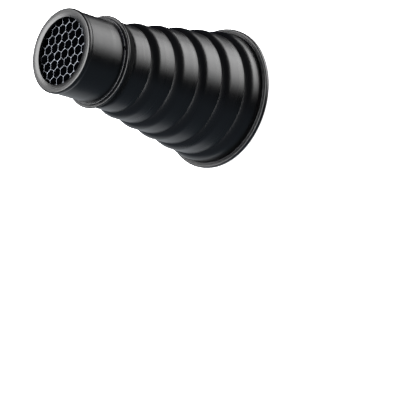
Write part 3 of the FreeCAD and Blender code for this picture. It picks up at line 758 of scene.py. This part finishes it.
@dataclass
class GridTube:
    """The removable tube: its bead, its dished front face, its grooves and its felt band."""

    groove_depth: float = 0.3
    groove_room: float = 0.05
    bead_start: float = 3.9
    bead_crest: float = 2.35
    bead_rounding: float = 2.3
    bead_blend: float = 0.8
    tube_radius: float = 26.7
    tube_wall: float = 0.9
    face_dish: float = 0.6
    dish_points: int = 10
    felt_edge: float = 0.2
    edge: float = 0.12

    def dish(self) -> list[Corner]:
        """The front face from its crest to the opening: it falls by dish x share^2."""
        crest, opening = reach("grid_tube") - self.bead_rounding, bore("grid_tube")
        share = np.linspace(0.0, 1.0, self.dish_points)
        radii = crest + (opening - crest) * share
        heights = head("grid_tube") - self.face_dish * share**2
        return [*zip(radii[1:-1], heights[1:-1]), (radii[-1], heights[-1], 0.15)]

    def outline(self) -> Array:
        """The tube's whole section, closed, with both grooves."""
        low, high, outer = foot("grid_tube"), head("grid_tube"), reach("grid_tube")
        opening, face_rear = bore("grid_tube"), head("front_spacer")
        inside = self.tube_radius - self.tube_wall
        stop_low = foot("stop_ring") - self.groove_room
        stop_high = head("stop_ring") + self.groove_room
        stop_floor = self.tube_radius - self.groove_depth
        snap_low, snap_high = foot("core_snap_ring"), head("core_snap_ring")
        snap_floor = inside + self.groove_depth
        return rounded(
            [
                (inside, low, 0.2),
                (self.tube_radius, low, 0.3),
                (self.tube_radius, stop_low, 0.05),
                (stop_floor, stop_low),
                (stop_floor, stop_high),
                (self.tube_radius, stop_high, 0.05),
                (self.tube_radius, high - self.bead_start, self.bead_blend),
                (outer, high - self.bead_crest, 0.4),
                (outer, high, self.bead_rounding),
                *self.dish(),
                (opening, face_rear, self.edge),
                (inside, face_rear),
                (inside, snap_high, 0.05),
                (snap_floor, snap_high),
                (snap_floor, snap_low),
                (inside, snap_low, 0.05),
            ],
            steps=9,
        )

    def fuzz(self, angle: Array, height: Array) -> Array:
        """The felt's soft unevenness: short waves round the band and along it."""
        wave = np.sin(61.0 * angle + 1.7 * height) + np.sin(97.0 * angle - 2.3 * height)
        return -0.02 - 0.01 * wave

    def build(self) -> None:
        """Makes the tube, its felt band and the spacer behind its face."""
        tube = lathe("turned_grid_tube", self.outline())
        finish_piece(tube, TUBE_FINISH, Body.GRID, Slot.SHELL, "grid_tube")
        low, high, outer = foot("felt_band"), head("felt_band"), reach("felt_band")
        band = ring_section(self.tube_radius, outer, low, high, self.felt_edge)
        felt = lathe("felt_brake_band", band, segments=384, ripple=self.fuzz)
        finish_piece(felt, FELT_FINISH, Body.GRID, Slot.FELT, "felt_band")
        spacer = lathe("grid_spacer", node_section("front_spacer", self.edge))
        finish_piece(spacer, PLATE_FINISH, Body.GRID, Slot.PLATE, "front_spacer")


@dataclass
class HoneycombGrid:
    """The foil honeycomb, the hoop round it, and the washer and snap ring behind it."""

    pitch: float = 6.35
    turn: float = -12.0
    middle: tuple[float, float] = (-1.35, -0.75)
    foil: float = 0.18
    glued_foil: float = 0.32
    glued_direction: int = 1
    corner_cut: float = 0.55
    wander: float = 0.13
    slit_wander: float = 0.12
    band: float = 0.4
    hoop_sheet: float = 0.4
    snap_gap: float = 24.0
    washer_edge: float = 0.1
    band_edge: float = 0.06
    spare: float = 1.0
    axis_gap: float = 0.001
    reach_in_cells: int = 6

    def corners(self) -> tuple[Array, Array]:
        """The cells' corners, each shared by three cells.

        Cells lie at middle + pitch (a u + b v), with u and v 60 degrees apart. A cell's corners
        lie at pitch / sqrt(3) from it, 30 degrees off those directions. Each corner then
        wanders by slow sines of its place, so that the foil looks expanded by hand.

        Returns:
            The corners' places (cells, 6, 2), and the number of the shared corner of each.
        """
        steps = np.arange(-self.reach_in_cells, self.reach_in_cells + 1)
        first, second = [grid.ravel()[:, None] for grid in np.meshgrid(steps, steps)]
        base = math.radians(self.turn)
        u = np.array([[math.cos(base), math.sin(base)]])
        aslant = base + TURN / CELL_SIDES
        v = np.array([[math.cos(aslant), math.sin(aslant)]])
        cells = np.array([self.middle]) + self.pitch * (first * u + second * v)
        corner_radius = self.pitch / math.sqrt(3.0)
        near = np.hypot(cells[:, 0], cells[:, 1]) < reach("honeycomb_core") + corner_radius
        angles = base + TURN / CELL_SIDES / 2.0 + TURN / CELL_SIDES * np.arange(CELL_SIDES)
        star = corner_radius * np.stack([np.cos(angles), np.sin(angles)], axis=-1)
        places = cells[near][:, None, :] + star[None, :, :]
        flat = np.round(places.reshape(-1, 2), 3)
        _, shared = np.unique(flat, axis=0, return_inverse=True)
        x, y = places[..., 0], places[..., 1]
        shift_x = np.sin(0.9 * x + 1.7 * y) + np.sin(2.3 * x - 1.1 * y + 1.0)
        shift_y = np.sin(1.3 * x - 0.8 * y + 2.0) + np.sin(-1.9 * x - 2.1 * y)
        places = places + self.wander * np.stack([shift_x, shift_y], axis=-1) / 2.0
        return places, shared.reshape(places.shape[:2])

    def openings(self, places: Array) -> Array:
        """Each cell's open outline: its edges moved in by half their foil, corners cut.

        The moved corner x solves n1 . x = h1 and n2 . x = h2 for the two edges' inward normals
        n and insets h. Three points replace it: one along each edge, and one between.

        Args:
            places: the cells' corners (cells, 6, 2).

        Returns:
            The outlines (cells, 18, 2), three points for each corner.
        """
        edge = places - np.roll(places, 1, axis=1)
        length = np.linalg.norm(edge, axis=-1, keepdims=True)
        along = edge / length
        normal = np.stack([-along[..., 1], along[..., 0]], axis=-1)
        glued = np.arange(CELL_SIDES) % 3 == self.glued_direction
        inset = np.where(glued, self.glued_foil, self.foil)[None, :] / 2.0
        normal_next, inset_next = np.roll(normal, -1, axis=1), np.roll(inset, -1, axis=1)
        cross = normal[..., 0] * normal_next[..., 1] - normal[..., 1] * normal_next[..., 0]
        x = (inset * normal_next[..., 1] - inset_next * normal[..., 1]) / cross
        y = (inset_next * normal[..., 0] - inset * normal_next[..., 0]) / cross
        inner = places + np.stack([x, y], axis=-1)
        along_next = np.roll(along, -1, axis=1)
        before = inner - self.corner_cut * along
        after = inner + self.corner_cut * along_next
        between = 0.5 * inner + 0.25 * (before + after)
        return np.stack([before, between, after], axis=2).reshape(len(places), CELL_POINTS, 2)

    def slit(self, flat: Array, height: float, sign: float) -> Array:
        """Points at a slit edge's height, which dips into the core by slow sines."""
        x, y = flat[:, 0], flat[:, 1]
        dip = 0.5 + 0.25 * (np.sin(1.1 * x + 0.7 * y) + np.sin(-0.6 * x + 1.5 * y))
        return np.column_stack([flat, height - sign * self.slit_wander * dip])

    def core(self) -> bpy.types.Object:
        """The lattice as one closed mesh, cut round and joined to its outer band."""
        places, shared = self.corners()
        inner = self.openings(places)
        count, corner_count = len(places), int(shared.max()) + 1
        outer_flat = np.zeros((corner_count, 2))
        outer_flat[shared.ravel()] = places.reshape(-1, 2)
        flat = np.vstack([outer_flat, inner.reshape(-1, 2)])
        low, high = foot("honeycomb_core"), head("honeycomb_core")
        vertices = np.vstack([self.slit(flat, high, 1.0), self.slit(flat, low, -1.0)])
        below = len(flat)
        opening = CELL_POINTS * np.arange(count)[:, None] + np.arange(CELL_POINTS)[None, :]
        opening = opening + corner_count
        first, middle, last = opening[:, 0::3], opening[:, 1::3], opening[:, 2::3]
        after_corner, after_first = np.roll(shared, -1, axis=1), np.roll(first, -1, axis=1)
        quads = np.stack([shared, after_corner, after_first, last], axis=-1).reshape(-1, 4)
        fans = [
            np.stack([shared, middle, first], axis=-1).reshape(-1, 3),
            np.stack([shared, last, middle], axis=-1).reshape(-1, 3),
        ]
        following = np.roll(opening, -1, axis=1)
        walls = np.stack([opening, following, following + below, opening + below], axis=-1)
        tops = [quads, *fans]
        faces = [face for group in tops for face in group.tolist()]
        faces += [face for group in tops for face in (group[:, ::-1] + below).tolist()]
        faces += walls.reshape(-1, 4).tolist()
        ends = np.stack([shared, after_corner], axis=-1).reshape(-1, 2)
        number = ends[:, 0] * corner_count + ends[:, 1]
        lonely = ends[~np.isin(ends[:, 1] * corner_count + ends[:, 0], number)]
        start, finish = lonely[:, 0], lonely[:, 1]
        skirt = np.column_stack([finish, start, start + below, finish + below])
        faces += skirt.tolist()
        lattice = new_piece("slit_honeycomb", vertices, faces, smooth=False)
        outer = reach("honeycomb_core")
        edge, under, over = outer - self.band / 2.0, low - self.spare, high + self.spare
        section = [(self.axis_gap, under), (edge, under), (edge, over), (self.axis_gap, over)]
        lattice = combine(lattice, lathe("disc", np.array(section)), "INTERSECT")
        ring = lathe("band", ring_section(outer - self.band, outer, low, high, self.band_edge))
        return combine(lattice, ring, "UNION")

    def hoop(self) -> Array:
        """The hoop's section: a channel of thin sheet, open towards the axis."""
        lip, outer = bore("core_hoop"), reach("core_hoop")
        low, high, sheet = foot("core_hoop"), head("core_hoop"), self.hoop_sheet
        return rounded(
            [
                (lip, low, 0.15),
                (outer, low, 0.4),
                (outer, high, 0.4),
                (lip, high, 0.15),
                (lip, high - sheet, 0.1),
                (outer - sheet, high - sheet, 0.15),
                (outer - sheet, low + sheet, 0.15),
                (lip, low + sheet, 0.1),
            ]
        )

    def build(self) -> None:
        """Makes the honeycomb and its three retaining rings."""
        finish_piece(self.core(), FOIL_FINISH, Body.GRID, Slot.FOIL, "honeycomb_core")
        hoop = lathe("grid_hoop", self.hoop())
        finish_piece(hoop, PLATE_FINISH, Body.GRID, Slot.FOIL, "core_hoop")
        washer = lathe("grid_washer", node_section("core_washer", self.washer_edge))
        finish_piece(washer, PLATE_FINISH, Body.GRID, Slot.PLATE, "core_washer")
        low, high = foot("core_snap_ring"), head("core_snap_ring")
        wire, middle = (high - low) / 2.0, (low + high) / 2.0
        circle = reach("core_snap_ring") - wire
        turns = TURN * np.arange(WIRE_SIDES) / WIRE_SIDES
        round_wire = np.column_stack([circle + wire * np.cos(turns), middle + wire * np.sin(turns)])
        ring = lathe("snap_ring", round_wire, sweep=math.radians(360.0 - self.snap_gap))
        finish_piece(ring, SPRING_FINISH, Body.GRID, Slot.SPRING, "core_snap_ring")


@dataclass
class BayonetMount:
    """The rear of the snoot: the plate, its gasket, the bayonet ring, its springs and screws."""

    def build(self) -> None:
        """Dresses the CAD nodes that stay in view."""
        finishes = {
            "back_plate": PLATE_FINISH,
            "plate_gasket": FIBRE_FINISH,
            "bayonet_ring": CAST_FINISH,
            "leaf_spring_1": SPRING_FINISH,
            "leaf_spring_2": SPRING_FINISH,
            "leaf_spring_3": SPRING_FINISH,
            "spring_screws": SCREW_FINISH,
            "bayonet_screws": SCREW_FINISH,
            "collar_screws": BLACK_SCREW_FINISH,
        }
        for node, finish in finishes.items():
            WARDROBE.dress_node(node, finish)
            LOG.info("%s: dressed", node)


# ---------------------------------------------------------------- the studio


@dataclass
class Softbox:
    """A rectangular light that faces a point on the snoot."""

    name: str
    direction: tuple[float, float, float]
    width: float
    height: float
    radiance: float
    distance: float = 1.0
    target: tuple[float, float, float] = (0.0, 0.0, 0.07)

    def build(self) -> None:
        """Makes the light; its power is radiance x pi x area, and its width lies level."""
        light = bpy.data.lights.new(self.name, "AREA")
        light.shape = "RECTANGLE"
        light.size, light.size_y = self.width, self.height
        light.energy = self.radiance * math.pi * self.width * self.height
        piece = bpy.data.objects.new(self.name, light)
        away = Vector(self.direction).normalized()
        piece.location = Vector(self.target) + away * self.distance
        piece.rotation_euler = (-away).to_track_quat("-Z", "Y").to_euler()
        piece.visible_camera = False
        bpy.context.scene.collection.objects.link(piece)


@dataclass
class Studio:
    """The pale floor, the softboxes, the surroundings and the camera."""

    aim: tuple[float, float, float] = (-68.59, -3.39, -3.92)
    distance: float = 1221.0
    elevation: float = 43.13
    roll: float = -75.85
    lens: float = 163.8
    floor_width: float = 60.0
    floor_drop: float = 0.3

    def floor(self) -> None:
        """A level sheet of white paper that shines a little, so that it stays pale.

        It is left out of mirrored rays and throws no shadow, since softboxes stand below its
        level, and from below it is clear, so that the bayonet mount can be looked at.
        """
        half = self.floor_width / 2.0 / MM
        level = -self.floor_drop
        square = np.array(
            [(-half, -half, level), (half, -half, level), (half, half, level), (-half, half, level)]
        )
        paper = new_piece("paper_floor", square, [[0, 1, 2, 3]])
        graph = Graph(bpy.data.materials.new("white_seamless_paper"))
        place = graph.add("ShaderNodeTexCoord", output="Object")
        pulp = graph.add("ShaderNodeTexNoise", {"Vector": place, "Scale": per_mm(3.0), "Detail": 4.0})
        mix = {0: pulp, 6: linear("#f6f6f6"), 7: linear("#ffffff")}
        colour = graph.add("ShaderNodeMix", mix, 2, data_type="RGBA")
        values = {
            "Base Color": colour,
            "Roughness": 0.95,
            "Emission Color": linear("#ffffff"),
            "Emission Strength": 0.85,
        }
        shader = graph.add("ShaderNodeBsdfPrincipled", values)
        clear = graph.add("ShaderNodeBsdfTransparent")
        under = graph.add("ShaderNodeNewGeometry", output="Backfacing")
        shader = graph.add("ShaderNodeMixShader", {0: under, 1: shader, 2: clear})
        graph.add("ShaderNodeOutputMaterial", {"Surface": shader}, None)
        paper.data.materials.append(graph.owner)
        paper.visible_diffuse = False
        paper.visible_glossy = False
        paper.visible_shadow = False

    def lights(self) -> list[Softbox]:
        """The softboxes.

        A long strip low on one side is brightest at its middle, so it is three that overlap.
        One box hangs overhead, a little behind, and one stands low behind.
        """
        return [
            Softbox("strip_whole", (0.694, -0.226, -0.684), 1.8, 0.48, 1.4, distance=1.04),
            Softbox("strip_half", (0.677, -0.273, -0.684), 1.0, 0.48, 2.2, distance=1.02),
            Softbox("strip_middle", (0.667, -0.297, -0.684), 0.55, 0.48, 1.8, distance=1.0),
            Softbox("overhead", (0.0, 0.174, 0.985), 1.0, 1.4, 11.0),
            Softbox("low_back", (-0.52, 0.52, -0.55), 0.9, 1.1, 0.45),
        ]

    def surroundings(self) -> None:
        """The world: white to the eye; to other rays a dim blue on -X that fades towards +X."""
        world = bpy.data.worlds.new("studio_room")
        bpy.context.scene.world = world
        graph = Graph(world)
        place = graph.add("ShaderNodeTexCoord", output="Generated")
        side = graph.add("ShaderNodeSeparateXYZ", {0: place}, "X")
        level = graph.add("ShaderNodeMapRange", {"Value": side, "From Min": -0.3, "From Max": 0.12})
        mix = {0: level, 6: (0.15, 0.185, 0.225, 1.0), 7: (0.012, 0.014, 0.018, 1.0)}
        dim = graph.add("ShaderNodeMix", mix, 2, data_type="RGBA")
        seen = graph.add("ShaderNodeLightPath", output="Is Camera Ray")
        mix = {0: seen, 6: dim, 7: (1.0, 1.0, 1.0, 1.0)}
        colour = graph.add("ShaderNodeMix", mix, 2, data_type="RGBA")
        shader = graph.add("ShaderNodeBackground", {"Color": colour, "Strength": 1.0})
        graph.add("ShaderNodeOutputWorld", {"Surface": shader}, None)

    def camera(self) -> None:
        """The camera, from its aim point, distance, elevation and roll.

        Its back axis rises by the elevation from -Y. Its right and up axes are the level pair
        turned by the roll about that axis.
        """
        rise, roll = math.radians(self.elevation), math.radians(self.roll)
        back = Vector((0.0, -math.cos(rise), math.sin(rise)))
        level_right, level_up = Vector((1.0, 0.0, 0.0)), Vector((0.0, math.sin(rise), math.cos(rise)))
        right = math.cos(roll) * level_right + math.sin(roll) * level_up
        up = back.cross(right)
        camera = bpy.data.cameras.new("view_camera")
        camera.lens, camera.sensor_width = self.lens, 36.0
        camera.clip_start, camera.clip_end = 0.05, 100.0
        piece = bpy.data.objects.new("view_camera", camera)
        turn = Matrix((right, up, back)).transposed().to_4x4()
        place = (Vector(self.aim) + back * self.distance) * MM
        piece.matrix_world = Matrix.Translation(place) @ turn
        bpy.context.scene.collection.objects.link(piece)
        bpy.context.scene.camera = piece

    def build(self) -> None:
        """Sets the whole studio up."""
        self.floor()
        for softbox in self.lights():
            softbox.build()
        self.surroundings()
        self.camera()
        bpy.context.scene.view_settings.view_transform = "Standard"


def main() -> None:
    """Builds the snoot piece by piece, and then the studio round it."""
    logging.basicConfig(level=logging.INFO, format="%(name)s %(message)s")
    kinds = [SpunCone, RearRim, NeckCollar, StopRing, GridTube, HoneycombGrid, BayonetMount]
    for kind in kinds:
        LOG.info("building %s", kind.__name__)
        kind().build()
    Studio().build()


if __name__ == "__main__":
    main()
